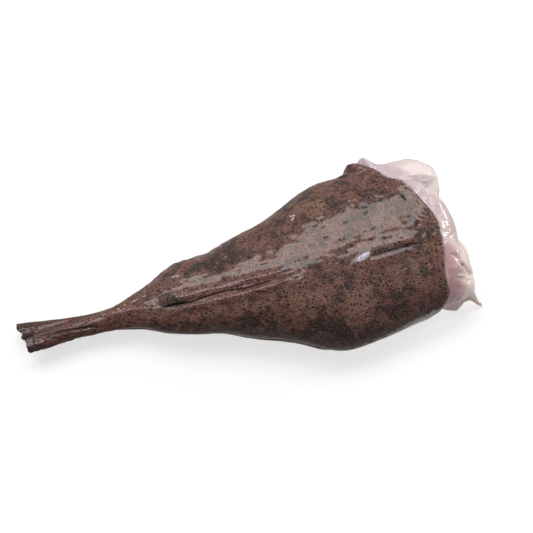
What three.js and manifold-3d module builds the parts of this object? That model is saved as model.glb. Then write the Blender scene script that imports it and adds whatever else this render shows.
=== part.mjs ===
// A skin-on monkfish tail, laid belly down. Millimetres, +Z up.
// +X runs from the cut tail fin to the cut shoulder end, +Y is the far flank, -Y the near flank.
// Two solids: the loose skin, a sleeve closed at the fin, and the flesh that runs through it.
import * as THREE from "three";
import Module from "manifold-3d";

const wasm = await Module();
wasm.setup();

// ---------------------------------------------------------------- driving dimensions
// Profiles along the tail, as [distance from the fin end, value].
const FAR_FLANK = [
  [0, 7.5], [22, 7], [60, 7.5], [84, 10.5], [100, 15.5], [124, 26], [150, 37], [176, 38.5],
  [200, 47], [235, 58.5], [272, 75.5], [292, 81], [312, 82], [340, 84.5], [376, 86], [400, 79],
];
const NEAR_FLANK = [
  [0, 8], [22, 9], [60, 10.5], [90, 12.5], [108, 15.5], [130, 24], [152, 29.5], [176, 34], [200, 43.5],
  [240, 58], [268, 71], [286, 74.5], [304, 72.5], [332, 68], [364, 61.5], [400, 56],
];
const BACK_HEIGHT = [
  [0, 29], [22, 29], [60, 26], [100, 30], [130, 37], [160, 44], [200, 50], [245, 55.5],
  [300, 59], [350, 60], [385, 57], [408, 52],
];
const BELLY_HEIGHT = [[0, 2], [25, 3], [62, 4], [100, 3], [135, 0], [165, -1.8], [300, -2.5], [408, -2]];
const WIDEST_HEIGHT = [[0, 14.5], [62, 14.5], [110, 15], [160, 17], [230, 20], [300, 22], [408, 23]];
const BACK_LEAN = [[0, 0], [96, -1], [132, -5.5], [240, -6], [300, -4.5], [350, -3], [408, -3]];
const FIN_ROLL = [[0, 62], [30, 54], [70, 24], [110, 0], [408, 0]]; // degrees, back towards the near side
const FIN_FLARE = [[0, 3], [14, 2.6], [34, 0.8], [56, 0], [408, 0]]; // added above and below
const WAIST = [[0, 0.36], [30, 0.34], [80, 0.2], [120, 0.05], [150, 0], [408, 0]];
const WAIST_SPREAD = 0.34; // of the half height, above and below the waist
const BACK_ROUNDNESS = 2.15; // superellipse exponents, above and below the widest level
const BELLY_ROUNDNESS = 2.5;

const SKIN = 2.2; // thickness
const GAP = 0.5; // between the skin and the flesh
const CAVITY_START = 96;
const FIN_BED = { deep: 5, wide: 16, grown: 150 }; // thicker skin along the back, where the fins were cut out

// Where the skin ends, round the body: [degrees, distance]; 0 is the far flank, 90 the back.
const SKIN_EDGE = [
  [-90, 345], [-40, 330], [-14, 323], [4, 325], [14, 334], [24, 344], [38, 352], [46, 363], [62, 374],
  [84, 383], [110, 380], [136, 379], [152, 375], [182, 364], [230, 352], [270, 345],
];

// Where the bare flesh ends, the same way, and the creases between its muscle blocks.
const FLESH_EDGE = [
  [-90, 390], [-20, 378], [12, 391], [26, 397], [38, 397], [49, 386], [66, 397], [90, 401], [112, 404],
  [136, 405], [160, 405], [190, 400], [270, 390],
];
const CREASES = [
  { at: 48, deep: 7.5, wide: 7 },
  { at: 88, deep: 2.5, wide: 7 },
  { at: 128, deep: 3, wide: 7 },
  { at: 196, deep: 6, wide: 24 },
  { at: -12, deep: 3, wide: 8 },
  { at: -90, deep: 3.5, wide: 12 },
];
const END_ROUNDING = { over: 18, drop: 13, least: 0.55 }; // least: the share of the drop at the flanks
const BACKBONE = { x: 384, y: 2, z: 27, r: 11, hollow: 3 };
const FACE_SWELL = 1.5; // how far the muscle of the cut face stands out
const DEEP_CREASE = { at: 38, wide: 18 }; // beside the deepest crease the face stays hollow

// Bumps, as the direction and half width in degrees, and the height.
const EDGE_ROLL = { at: 2, wide: 15, high: 8.5, from: 4, to: 10 }; // the skin turns up at the far corner
const EDGE_CURL = { at: 51, wide: 5, high: 2.2, reach: 7 }; // the skin lifts off the flesh in one spot
const KNOB = { at: 9, wide: 19, high: 9.5, x: 335, reach: 8.5 }; // the muscle swells out of the far corner
const FIN_LIPS = { aside: 5.5, wide: 4 }; // ridges on both sides of the cuts in the back
const REAR_LIPS = { high: 2.2, from: 126, full: 150, fade: 215, to: 262 };
const FRONT_LIPS = { high: 1.1, from: 292, full: 314, fade: 352, to: 372 };

const AROUND = 52;
const ROW_STEP = 7.5;
const EVEN_ROWS_END = 296; // from here the rows lean towards the slanting skin edge
const EDGE_ROWS = 11;
const FIN_ROWS_END = 20;
const LINING_ROWS = [CAVITY_START, 110, 124, 140, 160, 180, 200, 220, 240, 260, 280, EVEN_ROWS_END];

// ---------------------------------------------------------------- small mathematics
const rad = THREE.MathUtils.degToRad;
const clamp = THREE.MathUtils.clamp;
const lerp = THREE.MathUtils.lerp;
const ease = THREE.MathUtils.smoothstep;
const bump = (d, width) => Math.exp(-((d / width) ** 2));

// A smooth line through [x, value] points: cubic pieces whose slopes never overshoot.
function profile(points) {
  const slopes = points.map((p, i) => {
    if (i === 0 || i === points.length - 1) return 0;
    const [a, b] = [points[i - 1], points[i + 1]];
    const before = (p[1] - a[1]) / (p[0] - a[0]);
    const after = (b[1] - p[1]) / (b[0] - p[0]);
    return before * after <= 0 ? 0 : (2 * before * after) / (before + after);
  });
  return (x) => {
    const i = clamp(points.findIndex((p) => p[0] > x) - 1, 0, points.length - 2);
    const from = x >= points.at(-1)[0] ? points.length - 2 : i;
    const [x0, y0] = points[from];
    const [x1, y1] = points[from + 1];
    const h = x1 - x0;
    const t = clamp((x - x0) / h, 0, 1);
    const t2 = t * t;
    const t3 = t2 * t;
    return (
      (2 * t3 - 3 * t2 + 1) * y0 + (t3 - 2 * t2 + t) * h * slopes[from] +
      (3 * t2 - 2 * t3) * y1 + (t3 - t2) * h * slopes[from + 1]
    );
  };
}

// The same round the body, for angles from -90 to 270 degrees.
const roundProfile = (points) => {
  const along = profile(points);
  return (angle) => along(((((angle + 90) % 360) + 360) % 360) - 90);
};

const farFlank = profile(FAR_FLANK);
const nearFlank = profile(NEAR_FLANK);
const backHeight = profile(BACK_HEIGHT);
const bellyHeight = profile(BELLY_HEIGHT);
const widestHeight = profile(WIDEST_HEIGHT);
const backLean = profile(BACK_LEAN);
const finRoll = profile(FIN_ROLL);
const finFlare = profile(FIN_FLARE);
const waist = profile(WAIST);
const skinEdgeLine = roundProfile(SKIN_EDGE);
const fleshEdgeLine = roundProfile(FLESH_EDGE);

// Turn between two directions, in degrees from -180 to 180.
const turn = (angle, from) => ((((angle - from) % 360) + 540) % 360) - 180;

// ---------------------------------------------------------------- the body's form
// A point of the body at distance x, in the direction angle: 0 is the far flank, 90 the back,
// 180 the near flank and 270 the belly.
function bodyPoint(x, angle) {
  const c = Math.cos(rad(angle));
  const s = Math.sin(rad(angle));
  const n = s > 0 ? BACK_ROUNDNESS : BELLY_ROUNDNESS;
  const r = (Math.abs(c) ** n + Math.abs(s) ** n) ** (-1 / n);
  const level = widestHeight(x);
  const tall = (s > 0 ? backHeight(x) - level : level - bellyHeight(x)) + finFlare(x);
  const wide = c > 0 ? farFlank(x) : nearFlank(x);
  const across = wide * c * r * (1 - waist(x) * bump(s, WAIST_SPREAD)) + backLean(x) * Math.max(0, s * r);
  const up = tall * s * r;
  const roll = rad(finRoll(x));
  const y = across * Math.cos(roll) - up * Math.sin(roll);
  const z = across * Math.sin(roll) + up * Math.cos(roll) + level;
  return new THREE.Vector3(x, y, Math.max(0, z));
}

// The way out of the body, within the section at x.
function outward(x, angle) {
  const step = 1.5;
  const d = bodyPoint(x, angle + step).sub(bodyPoint(x, angle - step));
  return new THREE.Vector3(0, d.z, -d.y).normalize();
}

// Soft swells of the loose skin over the muscle.
function swell(x, angle) {
  const grown = ease(x, 100, 190) * (0.35 + 0.65 * ease(Math.sin(rad(angle)), -0.5, 0.2));
  const long = Math.sin(x / 23 + 2 * Math.sin(rad(angle)) + 0.6);
  const cross = Math.sin(x / 41 - 3.2 * Math.cos(rad(angle)) + 1.1);
  return grown * (0.7 * long + 0.6 * cross);
}

// The uneven line where the skin was cut at the shoulder.
function skinEdge(angle) {
  const nicks = 0.8 * Math.sin(rad(5 * angle + 40)) + 0.6 * Math.sin(rad(11 * angle));
  return skinEdgeLine(angle) + nicks;
}

const swelling = ({ at, wide, high }, angle) => high * bump(turn(angle, at), wide);

// The roll and the curl of the skin's cut edge.
function edgeLift(x, angle) {
  const back = skinEdge(angle) - x;
  const roll = swelling(EDGE_ROLL, angle) * (1 - ease(back, EDGE_ROLL.from, EDGE_ROLL.to));
  const curl = swelling(EDGE_CURL, angle) * bump(back, EDGE_CURL.reach);
  return roll + curl;
}

// Raised lips beside the cuts in the back where the two fins were.
function finLips(x, angle) {
  const side = bodyPoint(x, angle).y - bodyPoint(x, 90).y;
  const onBack = Math.sin(rad(angle)) > 0 ? 1 : 0;
  const ridges = [REAR_LIPS, FRONT_LIPS].map(
    ({ high, from, full, fade, to }) => high * ease(x, from, full) * (1 - ease(x, fade, to)),
  );
  return onBack * bump(Math.abs(side) - FIN_LIPS.aside, FIN_LIPS.wide) * (ridges[0] + ridges[1]);
}

function skinPoint(x, angle) {
  const lift = swell(x, angle) + edgeLift(x, angle) + finLips(x, angle);
  const p = bodyPoint(x, angle).addScaledVector(outward(x, angle), lift);
  p.z = Math.max(0, p.z);
  return p;
}

// The inside of the skin, or the flesh that lies in it when gap is added.
function liningPoint(x, angle, gap) {
  const bed = FIN_BED.deep * bump(turn(angle, 90), FIN_BED.wide) * ease(x, CAVITY_START, FIN_BED.grown);
  const lift = swell(x, angle) + edgeLift(x, angle) * (gap > 0 ? 0.8 : 1) - SKIN - bed - gap;
  const p = bodyPoint(x, angle).addScaledVector(outward(x, angle), lift);
  p.z = Math.max(SKIN + gap, p.z);
  return p;
}

// ---------------------------------------------------------------- rings and solids
// Directions round the body, closer together over the back than under the belly.
const ANGLES = Array.from({ length: AROUND }, (_, i) => {
  const even = (360 * i) / AROUND;
  return even + 26 * Math.cos(rad(even));
});
const ring = (pointAt) => ANGLES.map(pointAt);

// A closed mesh over rings of points, with a fan over each end.
function loft(rings) {
  const n = rings[0].length;
  const points = rings.flat();
  const faces = [];
  for (let k = 0; k + 1 < rings.length; k++) {
    for (let i = 0; i < n; i++) {
      const j = (i + 1) % n;
      const [a, b, c, d] = [k * n + i, k * n + j, (k + 1) * n + j, (k + 1) * n + i];
      faces.push([a, b, c], [a, c, d]);
    }
  }
  const middle = (list) => list.reduce((sum, p) => sum.add(p), new THREE.Vector3()).divideScalar(n);
  const first = points.push(middle(rings[0])) - 1;
  const last = points.push(middle(rings.at(-1))) - 1;
  const tail = (rings.length - 1) * n;
  for (let i = 0; i < n; i++) {
    const j = (i + 1) % n;
    faces.push([first, j, i], [last, tail + i, tail + j]);
  }
  return solid(points, faces);
}

function solid(points, faces) {
  const made = new wasm.Manifold(
    new wasm.Mesh({
      numProp: 3,
      vertProperties: new Float32Array(points.flatMap((p) => p.toArray())),
      triVerts: new Uint32Array(faces.flat()),
    }),
  );
  return made.volume() > 0 ? made : solid(points, faces.map(([a, b, c]) => [a, c, b]));
}

function mesh(name, made, color, roughness) {
  const { numProp, vertProperties, triVerts } = made.getMesh();
  const geometry = new THREE.BufferGeometry();
  geometry.setAttribute("position", new THREE.BufferAttribute(new Float32Array(vertProperties), numProp));
  geometry.setIndex(new THREE.BufferAttribute(new Uint32Array(triVerts), 1));
  geometry.computeVertexNormals();
  const material = new THREE.MeshStandardMaterial({ color, roughness, metalness: 0 });
  const object = new THREE.Mesh(geometry, material);
  object.name = name;
  return object;
}

// ---------------------------------------------------------------- the skin
const REAR_CUT = { from: 131, to: 234, half: 2.7, deep: 6, aside: (t) => 1.2 * Math.sin(5 * t) - 0.8 };
const FRONT_CUT = { from: 311, to: 362, half: 1.5, deep: 4, aside: (t) => 1.4 * Math.sin(6 * t) - 0.5 };

// A blade-shaped cutter along the back, V-shaped below the surface.
function finCut({ from, to, half, deep, aside }) {
  const steps = 16;
  const above = 5;
  const rings = Array.from({ length: steps + 1 }, (_, i) => {
    const t = i / steps;
    const taper = Math.max(0.12, Math.min(1, 5 * t, 1.35 * (1 - t)));
    const w = half * taper;
    const d = deep * (0.45 + 0.55 * taper);
    const top = skinPoint(lerp(from, to, t), 90);
    const spread = w * (1 + above / d);
    return [[spread, above], [-spread, above], [-0.3, -d], [0.3, -d]].map(
      ([y, z]) => new THREE.Vector3(top.x, top.y + aside(t) + y, top.z + z),
    );
  });
  return loft(rings);
}

// The ragged slanting end of the fin stump, and the rows that lead to it.
function finRow(share, inset) {
  return ring((a) => {
    const p = skinPoint(FIN_ROWS_END * share, a);
    const ragged = 1.3 * Math.sin(rad(3 * a + 20)) + 0.8 * Math.sin(rad(7 * a));
    p.x = lerp(4 - 0.26 * p.y + ragged + 4 * inset, FIN_ROWS_END, share);
    const middle = new THREE.Vector3(p.x, 0, widestHeight(0));
    return p.lerp(middle, inset);
  });
}

// A wedge that parts the two lobes of the fin stump.
function finNotch() {
  const roll = rad(finRoll(0));
  const across = new THREE.Vector3(0, Math.cos(roll), Math.sin(roll));
  const up = new THREE.Vector3(0, -Math.sin(roll), Math.cos(roll));
  const rings = [[-6, 5], [5, 3], [13, 0.5]].map(([x, h]) =>
    [[1, 1], [-1, 1], [-1, -1], [1, -1]].map(([u, v]) =>
      new THREE.Vector3(x, 0, widestHeight(0)).addScaledVector(across, 20 * u).addScaledVector(up, 3 + h * v),
    ),
  );
  return loft(rings);
}

function makeSkin() {
  const rings = [finRow(0, 0.5), finRow(0, 0.12), finRow(0.25, 0), finRow(0.6, 0)];
  for (let x = FIN_ROWS_END; x < EVEN_ROWS_END; x += ROW_STEP) rings.push(ring((a) => skinPoint(x, a)));
  for (let k = 0; k <= EDGE_ROWS; k++) {
    rings.push(ring((a) => skinPoint(lerp(EVEN_ROWS_END, skinEdge(a), k / EDGE_ROWS), a)));
  }
  for (const share of [1, 0.7, 0.35]) {
    rings.push(ring((a) => liningPoint(lerp(EVEN_ROWS_END, skinEdge(a), share), a, 0)));
  }
  for (const x of [...LINING_ROWS].reverse()) rings.push(ring((a) => liningPoint(x, a, 0)));
  const cutters = [finNotch(), finCut(REAR_CUT), finCut(FRONT_CUT)];
  return cutters.reduce((made, cutter) => made.subtract(cutter), loft(rings));
}

// ---------------------------------------------------------------- the flesh
const crease = (angle) => CREASES.reduce((sum, c) => sum + c.deep * bump(turn(angle, c.at), c.wide), 0);

// A point of the bare shoulder end. u runs from the skin's edge (0) to the cut face (1).
function shoulderPoint(u, angle) {
  const from = skinEdge(angle);
  const to = fleshEdgeLine(angle) - 0.6 * crease(angle);
  const x = lerp(from, to, u);
  const past = x - from;
  const knob = swelling(KNOB, angle) * bump(x - KNOB.x, KNOB.reach) * ease(past, 0.5, 7);
  const out = ease(past, 4, 18);
  const t = clamp((x - to) / END_ROUNDING.over + 1, 0, 1);
  const upright = lerp(END_ROUNDING.least, 1, Math.sin(rad(angle)) ** 2);
  const drop = END_ROUNDING.drop * (1 - Math.sqrt(1 - 0.97 * t * t)) * upright;
  const furrow = crease(angle) * out;
  const lift = swell(x, angle) + 0.8 * edgeLift(from, angle) * bump(past, 12) + out * (SKIN + GAP) + knob;
  const p = bodyPoint(x, angle).addScaledVector(outward(x, angle), lift - SKIN - GAP - drop - furrow);
  p.z = Math.max(lerp(SKIN + GAP, 0, out), p.z);
  return p;
}

// The cut face, from its rounded rim (1) to the edge of the backbone (0).
function facePoint(share, angle) {
  const rim = shoulderPoint(1, angle);
  const bone = bonePoint(1, angle);
  const p = bone.clone().lerp(rim, share);
  const hollow = bump(turn(angle, DEEP_CREASE.at), DEEP_CREASE.wide);
  const swollen = FACE_SWELL * Math.sin(Math.PI * share) * (1 - hollow);
  p.x = lerp(bone.x, rim.x, ease(share, 0, lerp(0.5, 1, hollow))) + swollen;
  return p;
}

// The hollow end of the backbone, from its edge (1) to its middle (0).
function bonePoint(share, angle) {
  const side = bodyPoint(BACKBONE.x, angle);
  const way = new THREE.Vector3(0, side.y - BACKBONE.y, side.z - BACKBONE.z).normalize();
  const p = new THREE.Vector3(BACKBONE.x - BACKBONE.hollow * (1 - share ** 2), BACKBONE.y, BACKBONE.z);
  return p.addScaledVector(way, BACKBONE.r * share);
}

// The thin wall of the belly, a skirt that flares out past the cut and lies on the table.
const FLAP = { from: 368, to: 413, rows: 15, thick: 2.8, highest: 33, innermost: -40, bulge: 3, narrow: 402 };
const FLAP_INWARD = { y: 0.8, z: -0.6 }; // the way through the wall

const flapReach = profile([[368, 44], [377, 54], [389, 57.5], [396, 53.5], [402, 52.5], [407, 56], [413, 59.5]]);
const flapArch = profile([[368, 9], [378, 1.5], [391, 0], [400, 8], [405, 6], [413, 0]]);

// A section of the wall: down its outside from the muscle (0) to its hem (1), and back up inside.
function flapRing(i) {
  const x = lerp(FLAP.from, FLAP.to, i / FLAP.rows);
  const past = ease(x, FLAP.narrow, FLAP.to);
  const hem = -flapReach(x);
  const top = { y: lerp(FLAP.innermost, hem + 3, past), z: lerp(FLAP.highest, FLAP.thick + 1, Math.sqrt(past)) };
  const wall = (t, inset) => {
    const y = lerp(top.y, hem, t) - FLAP.bulge * Math.sin(Math.PI * t) * (1 - past) + FLAP_INWARD.y * inset;
    const z = lerp(top.z, FLAP.thick, t ** 0.9) + flapArch(x) * t * t + FLAP_INWARD.z * inset;
    return new THREE.Vector3(x, y, Math.max(0, z));
  };
  const outer = [0, 0.2, 0.4, 0.6, 0.8, 0.93].map((t) => wall(t, 0));
  const inner = [0.96, 0.8, 0.6, 0.4, 0.2, 0].map((t) => wall(t, FLAP.thick));
  const foot = new THREE.Vector3(x, hem, flapArch(x) + FLAP.thick * 0.5);
  const sole = new THREE.Vector3(x, hem + 1.2, flapArch(x));
  return [...outer, foot, sole, ...inner];
}

const bellyFlap = () => loft(Array.from({ length: FLAP.rows + 1 }, (_, i) => flapRing(i)));

function makeFlesh() {
  const rings = LINING_ROWS.map((x) => ring((a) => liningPoint(x + GAP, a, GAP)));
  for (const share of [0.35, 0.7, 1]) {
    rings.push(ring((a) => liningPoint(lerp(EVEN_ROWS_END, skinEdge(a), share), a, GAP)));
  }
  for (const u of [0.04, 0.08, 0.13, 0.19, 0.27, 0.38, 0.5, 0.62, 0.73, 0.82, 0.89, 0.95, 1]) {
    rings.push(ring((a) => shoulderPoint(u, a)));
  }
  for (const share of [0.88, 0.72, 0.52, 0.32, 0.14]) rings.push(ring((a) => facePoint(share, a)));
  for (const share of [1, 0.85, 0.45]) rings.push(ring((a) => bonePoint(share, a)));
  return loft(rings.reverse()).add(bellyFlap()); // the same way round as the lining, so the facets run alike
}

// ---------------------------------------------------------------- the whole
const tail = new THREE.Group();
tail.add(mesh("skin", makeSkin(), 0x5f453c, 0.35));
tail.add(mesh("flesh", makeFlesh(), 0xe0c6c4, 0.3));
const box = new THREE.Box3().setFromObject(tail);
const middle = box.getCenter(new THREE.Vector3());
tail.position.set(-middle.x, -middle.y, -box.min.z);

export default tail;
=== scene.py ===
import bpy
import numpy as np
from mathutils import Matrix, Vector


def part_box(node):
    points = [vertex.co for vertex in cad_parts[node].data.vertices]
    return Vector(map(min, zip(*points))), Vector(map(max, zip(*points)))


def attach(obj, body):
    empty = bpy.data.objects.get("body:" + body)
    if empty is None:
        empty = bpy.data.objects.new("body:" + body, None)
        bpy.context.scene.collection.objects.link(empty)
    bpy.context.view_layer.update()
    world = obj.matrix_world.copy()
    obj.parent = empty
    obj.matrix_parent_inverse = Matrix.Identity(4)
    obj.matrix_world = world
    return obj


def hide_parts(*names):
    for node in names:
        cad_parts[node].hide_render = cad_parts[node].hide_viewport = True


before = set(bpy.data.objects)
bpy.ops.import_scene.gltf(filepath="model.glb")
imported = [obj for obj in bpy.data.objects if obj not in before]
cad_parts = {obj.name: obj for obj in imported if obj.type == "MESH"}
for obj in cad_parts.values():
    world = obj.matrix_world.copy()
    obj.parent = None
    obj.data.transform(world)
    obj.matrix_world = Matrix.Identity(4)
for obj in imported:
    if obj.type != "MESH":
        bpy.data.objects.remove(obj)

# ---------------- the body's dimensions
# Profiles along the tail, as [distance from the fin end, value].
FAR_FLANK = [
    [0, 7.5], [22, 7], [60, 7.5], [84, 10.5], [100, 15.5], [124, 26], [150, 37], [176, 38.5],
    [200, 47], [235, 58.5], [272, 75.5], [292, 81], [312, 82], [340, 84.5], [376, 86], [400, 79],
]
NEAR_FLANK = [
    [0, 8], [22, 9], [60, 10.5], [90, 12.5], [108, 15.5], [130, 24], [152, 29.5], [176, 34], [200, 43.5],
    [240, 58], [268, 71], [286, 74.5], [304, 72.5], [332, 68], [364, 61.5], [400, 56],
]
BACK_HEIGHT = [
    [0, 29], [22, 29], [60, 26], [100, 30], [130, 37], [160, 44], [200, 50], [245, 55.5],
    [300, 59], [350, 60], [385, 57], [408, 52],
]
BELLY_HEIGHT = [[0, 2], [25, 3], [62, 4], [100, 3], [135, 0], [165, -1.8], [300, -2.5], [408, -2]]
WIDEST_HEIGHT = [[0, 14.5], [62, 14.5], [110, 15], [160, 17], [230, 20], [300, 22], [408, 23]]
BACK_LEAN = [[0, 0], [96, -1], [132, -5.5], [240, -6], [300, -4.5], [350, -3], [408, -3]]
FIN_ROLL = [[0, 62], [30, 54], [70, 24], [110, 0], [408, 0]]  # degrees, back towards the near side
FIN_FLARE = [[0, 3], [14, 2.6], [34, 0.8], [56, 0], [408, 0]]
WAIST = [[0, 0.36], [30, 0.34], [80, 0.2], [120, 0.05], [150, 0], [408, 0]]
WAIST_SPREAD = 0.34
BACK_ROUNDNESS, BELLY_ROUNDNESS = 2.15, 2.5

SKIN = 2.2  # thickness
GAP = 0.5  # between the skin and the flesh
CAVITY_START = 96
FIN_BED = {"deep": 5, "wide": 16, "grown": 150}
LINING_FOLLOWS = 0.8  # how much of the cut edge's lift the flesh below it takes
SIDE_STEP = 1.5  # degrees to either side, for the direction that the surface faces

# Slow waves of the surface: height, length, turn with the direction, start.
SHORT_WAVE, LONG_WAVE = (0.7, 23, 2, 0.6), (0.6, 41, -3.2, 1.1)
SWELL_GROWS, SWELL_SIDE, BELLY_SWELL = (100, 190), (-0.5, 0.2), 0.35

# The cut edge's waves (height, number round the body, start), its roll and its curl.
EDGE_WAVES = [(0.8, 5, 40), (0.6, 11, 0)]
EDGE_ROLL = {"high": 8.5, "at": 2, "wide": 15, "back": (4, 10)}
EDGE_CURL = {"high": 2.2, "at": 51, "wide": 5, "back": 7}
LIPS = {"away": 5.5, "wide": 4, "rear": 2.2, "front": 1.1}  # raised skin beside the cuts
REAR_LIPS, FRONT_LIPS = (126, 150, 215, 262), (292, 314, 352, 372)

# Where the skin and the flesh end, round the body: [degrees, distance].
SKIN_EDGE = [
    [-90, 345], [-40, 330], [-14, 323], [4, 325], [14, 334], [24, 344], [38, 352], [46, 363], [62, 374],
    [84, 383], [110, 380], [136, 379], [152, 375], [182, 364], [230, 352], [270, 345],
]
FLESH_EDGE = [
    [-90, 390], [-20, 378], [12, 391], [26, 397], [38, 397], [49, 386], [66, 397], [90, 401], [112, 404],
    [136, 405], [160, 405], [190, 400], [270, 390],
]
# Creases between the flesh's lobes, as [degrees, depth, width].
CREASES = [[50, 6, 5], [88, 2.5, 7], [128, 3, 7], [196, 6, 24], [-12, 3, 8], [-90, 3.5, 12]]
CREASE_PULL = 0.6  # how far a crease draws the flesh's end back
KNOB = {"high": 9.5, "at": 9, "round": 19, "x": 335, "long": 8.5, "grows": (0.5, 7)}  # at the far corner
BARE_GROWS, LIFT_FADES = (4, 18), 12
END_ROUNDING = {"over": 18, "drop": 13, "least": 0.55, "full": 0.97}
BACKBONE = {"x": 384, "y": 2, "z": 27, "r": 11, "hollow": 3}
FACE_SWELL = 1.5
DEEP_CREASE = {"at": 38, "wide": 18}
FLAP_REACH = [[368, 44], [377, 54], [389, 57.5], [396, 53.5], [402, 52.5], [407, 56], [413, 59.5]]
FLAP_ARCH = [[368, 9], [378, 1.5], [391, 0], [400, 8], [405, 6], [413, 0]]
FLAP = {"from": 368, "to": 413, "thick": 2.8, "highest": 33, "innermost": -40, "bulge": 3, "narrow": 402}

FIN_ROWS_END = 20
EVEN_ROWS_END = 296  # from here the rows lean towards the slanting skin edge

# The cuts in the back where the fins were: [distance, half width] and depth.
REAR_CUT = {
    "half": [[131, 0.2], [136, 0.9], [142, 1.2], [148, 0.8], [165, 0.55], [222, 0.5], [236, 0.1]],
    "deep": 5,
}
FRONT_CUT = {
    "half": [[311, 0.1], [320, 0.5], [346, 0.5], [351, 1.0], [357, 0.9], [362, 0.45], [383, 0.35]],
    "deep": 3.2,
}
CUT_WANDER = [(0.9, 9), (0.25, 3.7)]  # sideways waves of the cuts: width, length
THINNEST_CUT, FULL_DEPTH_HALF, CUT_RIM = 0.05, 1.8, 1.25
SLIT_BLACK = (0.4, 2)  # depths between which a cut turns black: painted shade in the recess

# Lines along the skin, as [distance, degrees], and where each starts, is full, fades and ends.
STUMP_GROOVE = [[4, 20], [22, 28], [38, 44], [56, 78], [74, 105], [90, 120]]
GROOVE_SPAN, GROOVE_WIDTH = (8, 20, 60, 84), 1.6
# The neck's raised ridge, whose line also carries a painted highlight.
RIDGE_HIGHLIGHT_LINE = [[78, 66], [85, 69], [99, 81], [120, 86], [134, 92]]
STREAK_SPAN, STREAK_HIGHLIGHT_SPAN, STREAK_WIDTH = (76, 86, 122, 136), (76, 86, 125, 136), 2.2
FLANK_FOLD = [[100, 204], [115, 203], [176, 196], [243, 181], [300, 171], [372, 160]]
FOLD_SPAN = (98, 118, 350, 376)
FOLD_CREASE_WIDTH, FOLD_ROLL_BELOW, FOLD_ROLL_WIDTH, FOLD_RAGGED = 1.1, 3.5, 3, 0.8

# Areas round the body: middle in degrees, and the start, full, fade and end of the area from there.
FOLDED_SIDE, WRINKLED_SIDE = (100, (-50, -25, 40, 70)), (108, (-28, -16, 14, 28))
CURLED_SIDE, THIRD_LOBE = (42, (-20, -12, 10, 18)), (118, (-30, -18, 24, 36))
FAR_SIDE, NEAR_SIDE = (30, (-70, -45, 30, 50)), (130, (-50, -25, 40, 70))

# Heights of the skin's relief, and where its parts lie.
RELIEF = {
    "lumps": 0.45, "small lumps": 0.25, "strings": 0.14, "cut strings": 0.45, "edge folds": 0.3,
    "wrinkles": 0.55, "groove": -1.7, "ridge": 0.9, "fold roll": 0.9, "fold crease": -1.3,
    "stump strings": 0.7, "stump crumple": 1.1, "far crumple": 0.8, "far fold": 1.6, "belly lumps": 0.3,
}
UPPER_SIDE = (-0.6, -0.1)  # sine of the direction, from the belly to the skin with the full relief
STRINGS_GROW = (100, 150)
BESIDE_CUT = {"wide": 11, "span": (126, 140, 225, 262)}
EDGE_FOLDS = {"step": 1.6, "bend": 3.5, "back": (2, 8, 22, 36), "broken": (-0.2, 0.4)}
STUMP_STRINGS_END, STUMP_CRUMPLE_END = (50, 100), (12, 32)
FAR_CRUMPLE = {"at": 14, "wide": 16, "span": (118, 134, 185, 205)}
FAR_FOLD = {"at": 14, "wide": 5, "grows": (306, 313), "to edge": 6}

# Darker (+) and paler (-) areas of the skin: [distance, degrees, length, width, strength].
PATCHES = [
    [330, 133, 17, 13, 0.95], [345, 118, 6, 12, 0.5], [192, 43, 13, 12, 1.1], [320, 60, 9, 6, 0.7],
    [90, 102, 11, 4, 0.8], [262, 139, 28, 11, 0.95], [204, 132, 32, 8, 0.7], [240, 34, 14, 8, 0.5],
    [130, 128, 22, 5, 0.5], [300, 148, 22, 7, 0.6], [225, 118, 12, 6, 0.45],
    [306, 28, 9, 5, 0.7], [284, 25, 7, 5, 0.6], [267, 48, 5, 4, 0.6], [321, 32, 5, 4, 0.5],
    [311, 64, 10, 4, 0.6], [257, 14, 12, 5, 0.5], [342, 68, 3, 4, 0.6], [359, 60, 4, 4, 0.6],
    [300, 50, 9, 7, 0.35], [352, 66, 5, 8, 0.4], [339, 92, 10, 3, 0.5], [296, 99, 9, 5, 0.3],
    [302, 118, 15, 9, -0.5], [250, 112, 20, 7, -0.4], [350, 112, 13, 13, -0.6], [278, 44, 16, 10, -0.3],
    [318, 40, 5, 4, 0.8], [296, 44, 6, 3, 0.7], [330, 26, 6, 4, 0.8], [282, 36, 4, 3, 0.7],
    [340, 34, 4, 3, 0.7], [272, 30, 5, 3, 0.7], [250, 40, 5, 3, 0.6], [326, 50, 4, 3, 0.6],
    [152, 62, 20, 8, -0.35], [118, 96, 14, 5, -0.3], [214, 118, 16, 5, -0.25],
]
PATCH_RAGGED, PATCH_EDGE = 0.45, (0.55, 1.5)
WRINKLES_BACK = (4.5, 9.0, 15.0)  # from the cut edge
WRINKLE_WIDTH, WRINKLE_BEND = 0.8, 1.5
# A scrap of tissue at the front cut's start.
NUB = {"x": 311, "long": 5.5, "wide": 3.4, "high": 3.0, "edge": (0.15, 0.5)}

# Marks beside the back's middle line; "across" is + towards the far flank.
FRESH_LIP = {"across": 4.5, "wide": 3.2, "span": (142, 152, 222, 244)}
BRUISE = {"across": -9, "wide": 8, "span": (138, 160, 200, 240)}
# Darker rims along the rear and front cuts.
REAR_DARK_RIM = {"across": 0.5, "wide": 3.0, "span": (125, 131, 148, 163)}
FRONT_DARK_RIM = {"across": 0, "wide": 2.6, "span": (314, 326, 346, 366)}
RAW_RIM = 1.6  # width of the pale line at the cut edge
LEAST_BARE_EDGE = 0.12
BELLY_GRAIN = 0.25  # how much of the dark grain the belly keeps

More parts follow.
